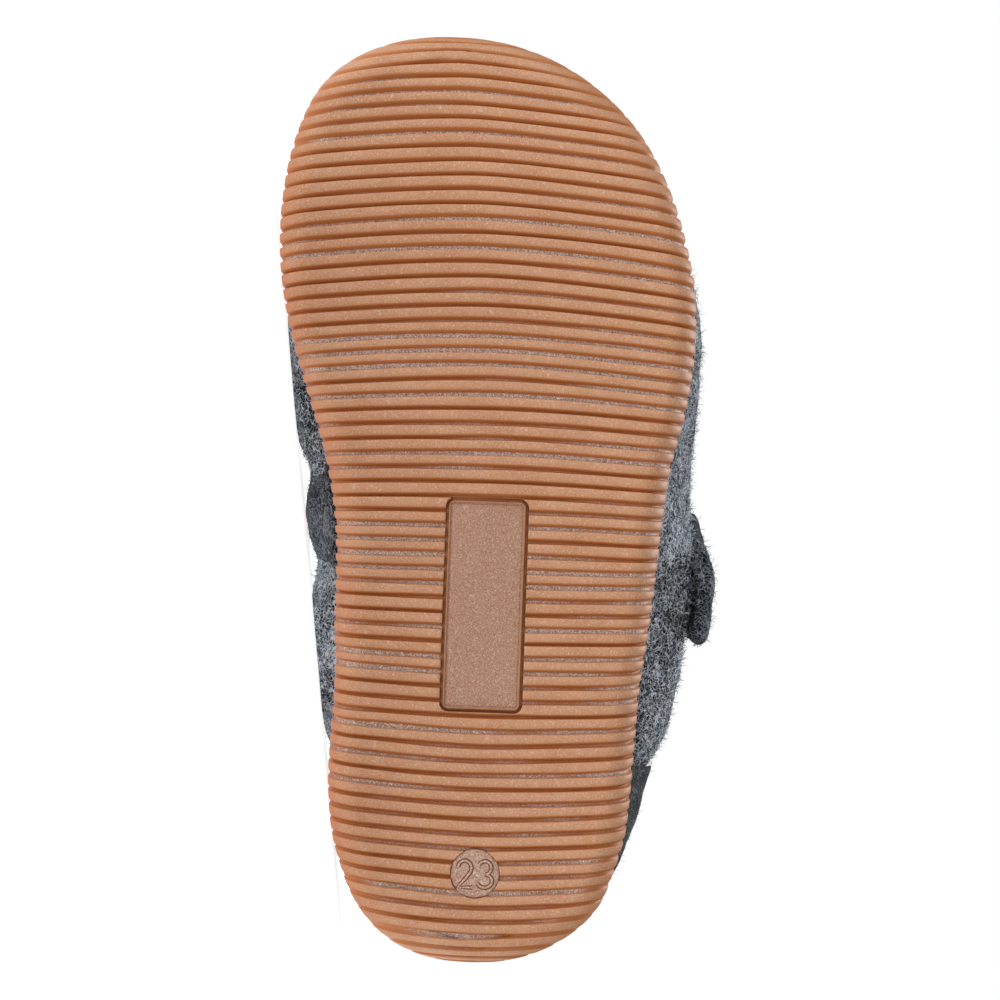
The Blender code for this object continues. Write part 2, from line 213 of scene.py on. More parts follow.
def tangleNodes(w, given):
    look = tangleLook
    place = w.node("ShaderNodeTexCoord").outputs["Object"]
    bend = w.node(
        "ShaderNodeTexNoise", {"Vector": place, "Scale": look["bendScale"], "Detail": 1.0}
    ).outputs["Color"]
    pushed = w.node(
        "ShaderNodeVectorMath", {0: bend, 1: (look["bend"],) * 3}, operation="MULTIPLY"
    ).outputs[0]
    at = w.shifted(place, pushed)
    lines, height = None, None
    for k, (scale, width, strength) in enumerate(look["layers"]):
        shift = tuple(part * k for part in look["layerShift"])
        level = w.noise(w.shifted(at, shift), scale, 0.0)
        away = w.math("ABSOLUTE", w.math("SUBTRACT", level, 0.5))
        line = w.math("MULTIPLY", w.ramp(away, 0.0, width, 1.0, 0.0), strength)
        lines = line if lines is None else w.math("MAXIMUM", lines, line)
        height = line if height is None else w.math("ADD", height, line)
    spread = w.noise(place, look["patchScale"], 3.0, 0.6)
    patches = w.ramp(spread, 0.32, 0.68, -look["patches"], look["patches"])
    drift = w.noise(place, look["cloudScale"], 2.0)
    clouds = w.ramp(drift, 0.35, 0.65, -look["clouds"], look["clouds"])
    share = w.math("ADD", w.math("ADD", lines, patches), clouds)
    share = w.math("POWER", w.ramp(share, look["shareFrom"], look["shareTo"]), given["Evenness"])
    colour = w.mix(share, given["Deep"], given["Fibre"])
    return {"Color": colour, "Height": height, "Share": share}


feltTangle = shaderGroup(
    "felt tangle",
    [("Deep", "NodeSocketColor", srgb(40, 44, 48)), ("Fibre", "NodeSocketColor", srgb(190, 194, 198)),
     ("Evenness", "NodeSocketFloat", 1.0)],
    [("Color", "NodeSocketColor"), ("Height", "NodeSocketFloat"), ("Share", "NodeSocketFloat")],
    tangleNodes,
)


# The fine skin of moulded rubber: speckles, a cloudy tone and pebbles
rubberSkin = {"fineScale": 3800.0, "cloudScale": 120.0, "pebbleScale": 2600.0, "speckScale": 3600.0}


def grainNodes(w, given):
    place = w.node("ShaderNodeTexCoord").outputs["Object"]
    fine = w.noise(place, rubberSkin["fineScale"], 2.0, 0.6)
    cloud = w.noise(place, rubberSkin["cloudScale"], 3.0, 0.55)
    pebble = w.node(
        "ShaderNodeTexVoronoi", {"Vector": place, "Scale": rubberSkin["pebbleScale"], "Randomness": 1.0}
    ).outputs["Distance"]
    height = w.math("ADD", w.math("MULTIPLY", fine, 0.6), w.math("MULTIPLY", pebble, given["Pebbles"]))
    specks = w.noise(w.shifted(place, (0.4, 0.2, 0.9)), rubberSkin["speckScale"], 1.0)
    return {"Tone": cloud, "Grain": fine, "Speck": w.ramp(specks, 0.58, 0.72), "Height": height}


rubberGrain = shaderGroup(
    "rubber grain",
    [("Pebbles", "NodeSocketFloat", 0.3)],
    [("Tone", "NodeSocketFloat"), ("Grain", "NodeSocketFloat"), ("Speck", "NodeSocketFloat"),
     ("Height", "NodeSocketFloat")],
    grainNodes,
)


def newMaterial(name):
    made = bpy.data.materials.new(name)
    made.use_nodes = True
    wiring = Wiring(made.node_tree)
    return made, wiring, made.node_tree.nodes["Principled BSDF"]


def join(wiring, value, shader, socket):
    wiring.tree.links.new(value, shader.inputs[socket])


def bumped(wiring, height, strength, distance):
    links = {"Height": height, "Strength": strength, "Distance": distance}
    return wiring.node("ShaderNodeBump", links).outputs["Normal"]


# Painted shade: felt and wool are painted darker where they go down into the sole's cup
paintedTuckShade = 0.6  # how dark wool and felt go where they are tucked into the sole


def feltMaterial(name, deep, fibre, evenness, relief):
    made, w, shader = newMaterial(name)
    tangle = w.node("ShaderNodeGroup", node_tree=feltTangle)
    tangle.inputs["Deep"].default_value = srgb(*deep)
    tangle.inputs["Fibre"].default_value = srgb(*fibre)
    tangle.inputs["Evenness"].default_value = evenness
    # painted shade where the felt goes down into the sole's cup
    painted_tuck_shade = w.node("ShaderNodeAttribute", attribute_name="painted_tuck_shade").outputs["Fac"]
    shaded = w.mix(w.math("MULTIPLY", painted_tuck_shade, paintedTuckShade), tangle.outputs["Color"], srgb(*deep))
    join(w, shaded, shader, "Base Color")
    join(w, w.ramp(tangle.outputs["Share"], 0.0, 1.0, 0.98, 0.82), shader, "Roughness")
    join(w, bumped(w, tangle.outputs["Height"], 0.8, relief), shader, "Normal")
    shader.inputs["Sheen Weight"].default_value = 0.05
    shader.inputs["Sheen Roughness"].default_value = 0.5
    shader.inputs["Specular IOR Level"].default_value = 0.15
    return made


# Caramel rubber: light on the crests, orange down the flanks (partly the rubber's deeper colour, partly
# painted shade), dull and pebbly on the floors
rubberTones = {
    "crest": (172, 119, 82), "crestLight": (182, 131, 95),
    "grain": (204, 172, 148), "speck": (226, 200, 180),
    # flank and foot: darker orange by depth down the grooves, partly the rubber's colour and partly painted
    # shade
    "flank": (174, 106, 54), "foot": (176, 112, 68),
    "dull": (150, 112, 94), "dullLight": (214, 190, 176), "dullSpeck": (242, 234, 228),
    # edge: painted shade, the dark outline round the digits
    "shade": (110, 66, 42), "edge": (84, 49, 30),
}


def rubberMaterial(name, pebbles=0.35, relief=0.00008, dullShare=1.0, shade=0.0):
    made, w, shader = newMaterial(name)
    tones = {part: srgb(*tone) for part, tone in rubberTones.items()}
    skin = w.node("ShaderNodeGroup", node_tree=rubberGrain)
    skin.inputs["Pebbles"].default_value = pebbles
    tone, grain, speck = (skin.outputs[label] for label in ("Tone", "Grain", "Speck"))
    hollow = w.node("ShaderNodeAttribute", attribute_name="hollow").outputs["Fac"]
    floor = w.node("ShaderNodeAttribute", attribute_name="floor").outputs["Fac"]
    crest = w.mix(w.ramp(tone, 0.35, 0.65), tones["crest"], tones["crestLight"])
    crest = w.mix(w.ramp(grain, 0.42, 0.70, 0.0, 0.35), crest, tones["grain"])
    crest = w.mix(w.math("MULTIPLY", speck, 0.40), crest, tones["speck"])
    # darker orange by depth: partly the rubber's colour, partly painted shade in the grooves
    flank = w.mix(w.ramp(hollow, 0.01, 0.22), crest, tones["flank"])
    flank = w.mix(w.ramp(hollow, 0.35, 0.90), flank, tones["foot"])
    dull = w.mix(w.ramp(grain, 0.38, 0.62), tones["dull"], tones["dullLight"])
    dull = w.mix(w.math("MULTIPLY", speck, 0.9), dull, tones["dullSpeck"])
    colour = w.mix(w.math("MULTIPLY", floor, dullShare), flank, dull)
    join(w, w.mix(shade, colour, tones["shade"]), shader, "Base Color")
    join(w, w.ramp(grain, 0.3, 0.7, 0.42, 0.60), shader, "Roughness")
    join(w, bumped(w, skin.outputs["Height"], 0.55, relief), shader, "Normal")
    shader.inputs["Specular IOR Level"].default_value = 0.35
    return made


# Plain dark rubber for the digits' dark outline, which is painted shade round the raised strokes
def paintedShadeMaterial(name):
    made, _, shader = newMaterial(name)
    shader.inputs["Base Color"].default_value = srgb(*rubberTones["edge"])
    shader.inputs["Roughness"].default_value = 0.7
    return made


def fibreMaterial(name, dark, light):
    made, w, shader = newMaterial(name)
    tone = w.node("ShaderNodeAttribute", attribute_name="tone").outputs["Fac"]
    # painted shade on fibres rooted near the sole's cup
    painted_tuck_shade = w.node("ShaderNodeAttribute", attribute_name="painted_tuck_shade").outputs["Fac"]
    wool = w.mix(tone, srgb(*dark), srgb(*light))
    join(w, w.mix(w.math("MULTIPLY", painted_tuck_shade, paintedTuckShade), wool, srgb(*dark)), shader, "Base Color")
    shader.inputs["Roughness"].default_value = 0.75
    shader.inputs["Specular IOR Level"].default_value = 0.2
    shader.inputs["Sheen Weight"].default_value = 0.1
    return made


soleRubber = rubberMaterial("caramel rubber")
plateRubber = rubberMaterial("matt rubber", pebbles=0.5, relief=0.00010, dullShare=0.8, shade=0.40)
pebbledRubber = rubberMaterial("pebbled rubber", pebbles=1.2, relief=0.00016, dullShare=0.65, shade=0.27)
digitShadeRubber = paintedShadeMaterial("painted digit shade")
upperFelt = feltMaterial("grey felt", (11, 15, 22), (228, 238, 252), evenness=1.10, relief=0.0007)
strapFelt = feltMaterial("dark grey felt", (10, 13, 18), (158, 166, 176), evenness=1.25, relief=0.0007)
counterFelt = feltMaterial("anthracite felt", (30, 32, 35), (104, 108, 112), evenness=1.3, relief=0.0003)
insoleFelt = feltMaterial("pale insole felt", (120, 116, 110), (196, 192, 184), evenness=0.8, relief=0.0002)
upperFibre = fibreMaterial("grey wool fibre", (7, 10, 16), (241, 248, 255))
strapFibre = fibreMaterial("dark wool fibre", (7, 9, 13), (182, 190, 200))
print("materials made")


# Outsole: a grid of ribs across and lanes along, bent round the rim of the sole
sole = {
    "wall": 0.0025, "floorHeight": 0.0045, "side": 0.0110, "lip": 0.0009, "lipRise": 0.22, "lipRound": 0.42,
    "toeSpring": 0.0060, "toeSpringFrom": 0.72, "heelSpring": 0.0010, "heelSpringTo": 0.06,
    # rimShade with its two heights: painted shade that darkens the rubber as it rises round the rim
    "rimReach": 0.0050, "rimRise": 0.0062, "rimShade": 0.14, "rimShadeFrom": 0.0006, "rimShadeTo": 0.0040,
    "bottomLanes": 35, "bottomShare": 0.85, "rimLanes": 12, "sideLanes": 5,
    "sideDepth": 0.60, "heelKeep": (0.04, 0.24), "toeKeep": (0.05, 0.24), "rimLoss": 0.25, "rimToneFade": 0.45,
}
# the grooves: narrow and wide ones are mixed, and they lie closer together at the toe and the heel
ribs = {
    "pitch": 0.00252, "depth": 0.0013, "edge": 0.00010, "roll": 0.00074, "least": 0.00010,
    "narrow": 0.00100, "wide": 0.00138, "widest": 0.0017, "middleShare": 0.4,
    "widthShares": (0.36, 0.34, 0.30),  # of narrow, middle and wide grooves
    "taper": 0.00016, "wave": 0.00020, "uneven": 0.0002, "floorFrom": 0.00108, "floorTo": 0.00135,
    "crowding": 1 / 3, "crowdedRibs": 5, "tipGrooves": 4, "heelGrooves": 15, "tipRows": 7, "seed": 23,
}
# share of the length, half width and spine as shares of the ball width, as in the solid
soleOutline = (
    (0.00, 0.346, -0.008), (0.06, 0.352, 0.004), (0.10, 0.349, 0.003), (0.15, 0.359, 0.003),
    (0.20, 0.367, 0.003), (0.30, 0.369, 0.013), (0.36, 0.380, 0.019), (0.42, 0.387, 0.025),
    (0.48, 0.397, 0.026), (0.54, 0.419, 0.021), (0.60, 0.456, 0.015), (0.66, 0.486, 0.001),
    (0.72, 0.500, -0.015), (0.78, 0.496, -0.034), (0.84, 0.495, -0.053), (0.90, 0.502, -0.075),
    (0.95, 0.514, -0.100), (1.00, 0.525, -0.120),
)
# share of the length, and how far the ends of a rib lag behind its middle, in metres
ribBow = (
    (0.00, -0.0030), (0.12, -0.0022), (0.28, -0.0012), (0.40, -0.0003), (0.57, 0.0013),
    (0.74, 0.0022), (0.90, 0.0028), (0.96, 0.0040), (1.00, 0.0055),
)
heelEnd, toeEnd = (0.165, 2.25), (0.260, 2.15)


def rounded(run, end):
    t = np.clip(run / end[0], 0, 1)
    return (1 - (1 - t) ** end[1]) ** (1 / end[1])


def halfWidth(share, inset):
    share = np.clip(share, 0, 1)
    ats, halves, _ = zip(*soleOutline)
    full = rounded(share, heelEnd) * rounded(1 - share, toeEnd)
    return (throughRows(share, ats, halves) * ballWidth - inset) * full


def spineAt(share):
    ats, _, spines = zip(*soleOutline)
    return throughRows(share, ats, spines) * ballWidth


def springAt(x):
    share = x / lastLength
    toe = np.maximum(0.0, (share - sole["toeSpringFrom"]) / (1 - sole["toeSpringFrom"]))
    heel = np.maximum(0.0, (sole["heelSpringTo"] - share) / sole["heelSpringTo"])
    return sole["toeSpring"] * toe**2 + sole["heelSpring"] * heel**2


def lipAt(share):
    return sole["side"] * (1 + sole["lipRise"] * np.abs(2 * share - 1) ** 3)


# Each lane as (zone, place in the zone from 0 to 1), from the middle of the tread to the cup's floor
def lanesOfHalf():
    lanes = [("bottom", k / sole["bottomLanes"]) for k in range(1, sole["bottomLanes"] + 1)]
    lanes += [("rim", k / sole["rimLanes"]) for k in range(1, sole["rimLanes"] + 1)]
    lanes += [("side", k / sole["sideLanes"]) for k in range(1, sole["sideLanes"] + 1)]
    lanes += [("lip", 0.3), ("lip", 0.7), ("lip", 1.0), ("inner", 0.5), ("inner", 1.0), ("inside", 0.55)]
    return lanes


# Half breadth and height over the tread of one lane at the stations x
def soleSkin(x, lane):
    zone, t = lane
    reach, rise = sole["rimReach"], sole["rimRise"]
    room = np.minimum(x, lastLength - x)
    start = np.arccos(1 - np.minimum(reach, room * 0.98) / reach)
    turn = start * (1 - t) if zone == "rim" else start
    if zone in ("bottom", "rim"):
        inset = reach * (1 - np.cos(turn))
        half = halfWidth((x - inset) / (lastLength - 2 * inset), inset)
        return half * (t if zone == "bottom" else 1), rise * (1 - np.sin(turn))
    share = x / lastLength
    half, lip = halfWidth(share, 0), lipAt(share)
    brow = lip - sole["lip"]
    if zone == "side":
        return half, rise + (brow - rise) * t
    within = halfWidth((x - sole["wall"]) / (lastLength - 2 * sole["wall"]), sole["wall"])
    within = np.where(room > sole["wall"], within, 0)
    if zone == "lip":
        angle = t * math.pi / 2
        inward = (within - half) * sole["lipRound"] * (1 - math.cos(angle))
        return half + inward, brow + sole["lip"] * math.sin(angle)
    down = np.where(room > sole["wall"], sole["floorHeight"], lip)
    if zone == "inner":
        return within, lip + (down - lip) * t * smoothStep(t, 0, 0.6)
    return within * (1 - t), down


# The rows of points across one groove: side of the groove, place from there, depth and floor.
# The toe-side edge of a crest is sharp, and its heel side rolls down into the groove.
def ribRows():
    edge, roll = ribs["edge"], ribs["roll"]
    return (
        ("low", -0.00006, 0.0, 0), ("low", 0.0, 0.04, 0), ("low", edge, 0.96, 1),
        ("mid", 0.0, 1.0, 1), ("high", -roll, 0.96, 1), ("high", -roll * 0.82, 0.80, 0),
        ("high", -roll * 0.55, 0.45, 0), ("high", -roll * 0.28, 0.18, 0), ("high", 0.0, 0.035, 0),
    )


# Places along the last, and the run to each along the tread's curve
def treadRun():
    fine = np.linspace(0, lastLength, 6001)
    room = np.minimum(np.minimum(fine, lastLength - fine), sole["rimReach"])
    low = sole["rimRise"] * (1 - np.sqrt(1 - (1 - room / sole["rimReach"]) ** 2)) + springAt(fine)
    return fine, np.concatenate([[0], np.cumsum(np.hypot(np.diff(fine), np.diff(low)))])


# Where the grooves lie along the run, and the spacing of the ribs as shares of the pitch
def grooveStations(length):
    crowded, reach = ribs["crowding"], ribs["crowdedRibs"]
    count = round(length / ribs["pitch"] + crowded * (reach + 1))
    steps = np.arange(count)
    spacing = 1 - crowded * (1 - smoothStep(np.minimum(steps, steps[::-1]), 0, reach))
    return np.concatenate([[0], np.cumsum(spacing)]) * length / spacing.sum(), spacing


# All lanes round the sole, and where each lies across the ball, from -1 to 1
def allLanes():
    half = lanesOfHalf()
    lanes = [(-1, lane) for lane in reversed(half)] + [(1, ("bottom", 0.0))] + [(1, lane) for lane in half]
    across = []
    for side, (zone, t) in lanes:
        places = {"bottom": sole["bottomShare"] * t, "rim": sole["bottomShare"] * (1 - t) + t}
        across.append(side * places.get(zone, 1.0))
    return lanes, np.array(across)


def grooveWidths(count):
    rng = np.random.default_rng(ribs["seed"])
    narrow, wide, tips = ribs["narrow"], ribs["wide"], ribs["tipGrooves"]
    middle = narrow + (wide - narrow) * ribs["middleShare"]
    width = rng.choice([narrow, middle, wide], count + 1, p=ribs["widthShares"])
    heel = slice(tips, ribs["heelGrooves"])
    width[heel] = np.maximum(width[heel], middle)
    width[:tips] = narrow
    width[-tips:] = narrow
    return width, rng.uniform(-1, 1, count + 1) * ribs["taper"]


# A slow wander of one groove over the lanes
def wander(n, across, along, over, seed):
    return np.array([noise.noise(Vector((n * along, a * over, seed))) for a in across])


# The grid of points: run along the tread, depth and share of dull floor, each as rows by lanes
def ribGrid(stations, spacing, across):
    width, taper = grooveWidths(len(spacing))
    end = stations[-1]
    # plain rows from the tip to just short of the first groove
    tips = [stations[1] * 0.8 * (k / ribs["tipRows"]) ** 1.5 for k in range(ribs["tipRows"])]
    rows = []

    def addRow(at, deep=0.0, flat=0.0):
        rows.append([np.zeros(len(across)) + value for value in (at, deep, flat)])

    for at in tips:
        addRow(at)
    for n in range(1, len(spacing)):
        wave = wander(n, across, 0.31, 1.3, 5.0) * ribs["wave"]
        wave *= smoothStep(min(stations[n], end - stations[n]), 0.002, 0.015)
        groove = width[n] + taper[n] * across * 1.6
        groove += wander(n, across, 1.7, 2.4, 9.0) * ribs["uneven"]
        groove = np.clip(groove, ribs["edge"] + ribs["roll"] + ribs["least"], ribs["widest"])
        broad = smoothStep(groove, ribs["floorFrom"], ribs["floorTo"])
        scale = (spacing[n - 1] + spacing[n]) / 2
        groove = groove * scale
        centre = stations[n] + wave
        middle = centre + (ribs["edge"] - ribs["roll"]) / 2 * scale
        anchors = {"low": centre - groove / 2, "mid": middle, "high": centre + groove / 2}
        for anchor, shift, deep, flat in ribRows():
            addRow(anchors[anchor] + shift * scale, deep, flat * broad)
        addRow((stations[n] + stations[n + 1]) / 2 + wave * 0.9)  # the crest's middle
    for at in reversed(tips):
        addRow(end - at)
    run, depth, floor = np.array(rows).transpose(1, 0, 2)
    run = np.maximum.accumulate(np.clip(run, 0.00001, end - 0.00001), axis=0)
    return run, depth, floor


# Moves the ends of the ribs back or forward, as their bow says for a breadth of 30 mm
# at each side. Each round takes the breadth at the place found by the round before.
def bowed(straight, lanes):
    ats, bows = zip(*ribBow)
    lag = throughRows(straight / lastLength, ats, bows)
    lag *= smoothStep(np.minimum(straight, lastLength - straight), 0.0, 0.004)
    x = straight
    for _ in range(4):
        breadth = np.stack([soleSkin(x[:, k], lane)[0] for k, (_, lane) in enumerate(lanes)], axis=1)
        x = np.clip(straight - lag * (breadth / 0.030) ** 1.6, 0.000004, lastLength - 0.000004)
    return x


# The smooth skin of the sole through all the grid's points
def skinThrough(x, lanes):
    y, z = np.zeros_like(x), np.zeros_like(x)
    for k, (side, lane) in enumerate(lanes):
        half, height = soleSkin(x[:, k], lane)
        y[:, k] = spineAt(x[:, k] / lastLength) + side * np.maximum(half, 0.00001)
        z[:, k] = height + springAt(x[:, k])
    return np.stack([x, y, z], axis=2)


def gridNormals(skin):
    normal = np.cross(np.gradient(skin, axis=1), np.gradient(skin, axis=0))
    return normal / np.maximum(np.linalg.norm(normal, axis=2, keepdims=True), 1e-12)


# How far the grooves are cut and tinted, their tint partly the rubber's deeper colour and partly painted
# shade:
# fully under the sole, less round the rim, and not at the rim of the toe and heel
def cutToneAndShade(x, depth, lanes):
    share = x / lastLength
    keep = sole["sideDepth"] * smoothStep(share, *sole["heelKeep"]) * smoothStep(1 - share, *sole["toeKeep"])
    cut, toneAndShade = np.zeros_like(x), np.zeros_like(x)
    for k, (_, (zone, t)) in enumerate(lanes):
        if zone == "bottom":
            cut[:, k] = 1 - (1 - keep[:, k]) * sole["rimLoss"] * smoothStep(t, 0.90, 1.0)
            toneAndShade[:, k] = depth[:, k]
        elif zone == "rim":
            cut[:, k] = 1 - (1 - keep[:, k]) * (sole["rimLoss"] * (1 - t) + t)
            toneAndShade[:, k] = depth[:, k] * (1 - sole["rimToneFade"] * t)
        elif zone == "side":
            cut[:, k] = keep[:, k] * (1 - t) ** 0.7
            toneAndShade[:, k] = depth[:, k] * cut[:, k]
    return cut, toneAndShade


# The faces of a tube through all the rows, closed by a cap at each end
def gridFaces(rows, cols):
    index = np.arange(rows * cols).reshape(rows, cols)
    turned = np.roll(index, -1, axis=1)
    quads = np.stack([index[:-1], turned[:-1], turned[1:], index[1:]], axis=2).reshape(-1, 4)
    return quads.tolist() + [index[0][::-1].tolist(), index[-1].tolist()]


def makeOutsole():
    fine, run = treadRun()
    stations, spacing = grooveStations(run[-1])
    lanes, across = allLanes()
    along, depth, floor = ribGrid(stations, spacing, across)
    x = bowed(np.interp(along, run, fine), lanes)
    skin = skinThrough(x, lanes)
    cut, toneAndShade = cutToneAndShade(x, depth, lanes)
    # Painted shade: the rubber goes darker as it rises round the rim
    raised = skin[:, :, 2] - springAt(x)
    toneAndShade += sole["rimShade"] * smoothStep(raised, sole["rimShadeFrom"], sole["rimShadeTo"])
    sunk = skin - gridNormals(skin) * (depth * cut * ribs["depth"])[:, :, None]
    points = fromShoe(sunk.reshape(-1, 3))
    piece = meshPiece("sole_tread", points, gridFaces(*x.shape), soleRubber, ("outsole",))
    paintPoints(piece.data, "hollow", toneAndShade)
    paintPoints(piece.data, "floor", floor * smoothStep(cut, 0.5, 0.8))
    piece.data.shade_smooth()
    return piece


# The waist plate and the heel medallion stand in pockets cut into the ribs
plate = {
    "centre": (0.0625, 0.0), "length": 0.0357, "width": 0.0132, "corner": 0.0010,
    "margin": 0.00052, "pocket": 0.00128, "foot": 0.0016,
}
# distance in from the plate's edge and depth below the crests, from its foot to its field
plateSteps = (
    (-0.00050, 0.00126), (-0.00030, 0.00112), (-0.00008, 0.00104), (0.0, 0.00070), (0.00002, 0.00022),
    (0.00008, 0.00010), (0.00018, 0.00006), (0.00028, 0.00010), (0.00038, 0.00034), (0.00048, 0.00042),
    (0.00066, 0.00032), (0.00120, 0.00026),
)
medallion = {
    "centre": (0.0165, 0.0), "radius": 0.0042, "corners": 96,
    "margin": 0.00006, "pocket": 0.00105, "foot": 0.0014,
}
medallionSteps = (
    (-0.00004, 0.00104), (0.0, 0.00058), (0.00008, 0.00044), (0.00030, 0.00036), (0.00090, 0.00033),
    (0.00200, 0.00031), (0.00300, 0.00030),
)


def plateLoop(inset):
    halfLong, halfWide = plate["length"] / 2 - inset, plate["width"] / 2 - inset
    corner = max(plate["corner"] - inset, 0.00015)
    loop = []
    for sx, sy, start in ((1, 1, 0), (-1, 1, 90), (-1, -1, 180), (1, -1, 270)):
        for k in range(9):
            angle = math.radians(start + 90 * k / 8)
            loop.append((
                plate["centre"][0] + sx * (halfLong - corner) + corner * math.cos(angle),
                plate["centre"][1] + sy * (halfWide - corner) + corner * math.sin(angle),
            ))
    return loop


def roundLoop(inset):
    cx, cy = medallion["centre"]
    radius, n = medallion["radius"] - inset, medallion["corners"]
    turns = [2 * math.pi * k / n for k in range(n)]
    return [(cx + radius * math.cos(a), cy + radius * math.sin(a)) for a in turns]


# A closed body from loops laid at their depths, with a flat foot and a flat top
def stackedLoops(loops, depths, foot):
    levels = [(loops[0], foot)] + list(zip(loops, depths))
    points = [(x, y, z) for loop, z in levels for x, y in loop]
    n = len(loops[0])
    faces = [list(range(n))]
    for level in range(len(levels) - 1):
        for k in range(n):
            j = (k + 1) % n
            faces.append([level * n + k, (level + 1) * n + k, (level + 1) * n + j, level * n + j])
    faces.append([(len(levels) - 1) * n + k for k in reversed(range(n))])
    return fromShoe(points), faces


def pocketCutter(name, loop, deep):
    n = len(loop)
    points = fromShoe([(x, y, z) for z in (-0.002, deep) for x, y in loop])
    faces = [list(range(n)), [n + k for k in reversed(range(n))]]
    faces += [[k, n + k, n + (k + 1) % n, (k + 1) % n] for k in range(n)]
    mesh = bpy.data.meshes.new(name)
    mesh.from_pydata(points.tolist(), [], faces)
    cutter = bpy.data.objects.new(name, mesh)
    bpy.context.scene.collection.objects.link(cutter)
    bm = bmesh.new()
    bm.from_mesh(mesh)
    bmesh.ops.recalc_face_normals(bm, faces=bm.faces)
    bm.to_mesh(mesh)
    bm.free()
    # painted shade on the pocket's walls
    paintPoints(mesh, "hollow", np.full(2 * n, 0.9))
    paintPoints(mesh, "floor", np.zeros(2 * n))
    return cutter


def cutPockets(piece):
    cutters = (
        pocketCutter("plate pocket", plateLoop(-plate["margin"]), plate["pocket"]),
        pocketCutter("medallion pocket", roundLoop(-medallion["margin"]), medallion["pocket"]),
    )
    for cutter in cutters:
        pocket = piece.modifiers.new(cutter.name, "BOOLEAN")
        pocket.operation, pocket.solver, pocket.object = "DIFFERENCE", "EXACT", cutter
    settled(piece)
    for cutter in cutters:
        bpy.data.objects.remove(cutter)


def makePlate():
    loops = [plateLoop(inset) for inset, _ in plateSteps]
    points, faces = stackedLoops(loops, [deep for _, deep in plateSteps], plate["foot"])
    piece = meshPiece("waist_plate", points, faces, plateRubber)
    deep = toShoe(points)[:, 2]
    # dull on the field, and painted shade down the sides, darker than on the rim
    field = smoothStep(deep, 0.00018, 0.00024) * (1 - smoothStep(deep, 0.0004, 0.0006))
    paintPoints(piece.data, "hollow", 0.03 + smoothStep(deep, 0.0003, 0.0009) * 0.9)
    paintPoints(piece.data, "floor", field * 0.5)
    return piece


def makeMedallion():
    loops = [roundLoop(inset) for inset, _ in medallionSteps]
    points, faces = stackedLoops(loops, [deep for _, deep in medallionSteps], medallion["foot"])
    piece = meshPiece("size_medallion", points, faces, pebbledRubber)
    deep = toShoe(points)[:, 2]
    # painted shade down the sides into the pocket, and dull on the top
    paintPoints(piece.data, "hollow", smoothStep(deep, 0.0004, 0.0007) * 0.9)
    paintPoints(piece.data, "floor", 1 - smoothStep(deep, 0.0004, 0.0006))
    return piece


# The size number, drawn with arcs and straight strokes: across to the outer side, up to the toe.
# Each digit's corner is given from the medallion's centre.
digits = {
    "height": 0.0046, "two": (-0.00312, -0.0024), "three": (0.00030, -0.0024),
    "stroke": 0.00020, "strokeFlat": 0.6, "strokeDepth": 0.00027,
    # outline: a wider, flatter dark tube under each stroke, painted shade round the raised digits
    "outline": 0.00019, "outlineFlat": 0.10, "outlineDepth": 0.00030,
    "shade": 0.35, "dull": 0.6,
}


def arcPoints(cx, cy, rx, ry, start, end, steps=18):
    angles = [math.radians(start + (end - start) * k / steps) for k in range(steps + 1)]
    return [(cx + rx * math.cos(a), cy + ry * math.sin(a)) for a in angles]


# Both digits as flattened tubes of one width, in the slipper's frame
def digitStrokes(name, radius, flatness, sunk, material):
    unit = digits["height"] / 4.6  # the strokes below are drawn 4.6 units high
    fromHeel, fromMiddle = medallion["centre"]
    two = arcPoints(1.35, 3.30, 1.15, 1.30, 168, -30) + [(1.45, 1.45), (0.22, 0.02), (2.70, 0.02)]
    threeTop = arcPoints(1.38, 3.45, 1.12, 1.15, 155, -85)
    threeLow = arcPoints(1.38, 1.22, 1.30, 1.16, 85, -158)
    curve = bpy.data.curves.new(name, "CURVE")
    curve.dimensions = "3D"
    curve.bevel_depth = radius
    curve.bevel_resolution = 3
    curve.use_fill_caps = True
    for where, stroke in (("two", two), ("three", threeTop), ("three", threeLow)):
        across, up = digits[where]
        spline = curve.splines.new("POLY")
        spline.points.add(len(stroke) - 1)
        for point, (u, v) in zip(spline.points, stroke):
            point.co = (fromHeel + up + v * unit, fromMiddle + across + u * unit, 0, 1)
    drawn = bpy.data.objects.new(name, curve)
    bpy.context.scene.collection.objects.link(drawn)
    graph = bpy.context.evaluated_depsgraph_get()
    mesh = bpy.data.meshes.new_from_object(drawn.evaluated_get(graph))
    bpy.data.objects.remove(drawn)
    own = pointsOf(mesh)
    own[:, 2] = sunk + own[:, 2] * flatness
    movePoints(mesh, fromShoe(own))
    piece = bpy.data.objects.new(name, mesh)
    piece.data.shade_smooth()
    paintPoints(mesh, "hollow", np.full(len(own), digits["shade"]))
    paintPoints(mesh, "floor", np.full(len(own), digits["dull"]))
    return dress(piece, material)


def makeDigits():
    stroke, edge = digits["stroke"], digits["stroke"] + digits["outline"]
    digitStrokes("size_digits", stroke, digits["strokeFlat"], digits["strokeDepth"], soleRubber)
    # the dark outline tubes: painted shade round the digits
    digitStrokes("size_digit_painted_shade", edge, digits["outlineFlat"], digits["outlineDepth"], digitShadeRubber)


tread = makeOutsole()
cutPockets(tread)
makePlate()
makeMedallion()
makeDigits()
print("outsole", len(tread.data.polygons))


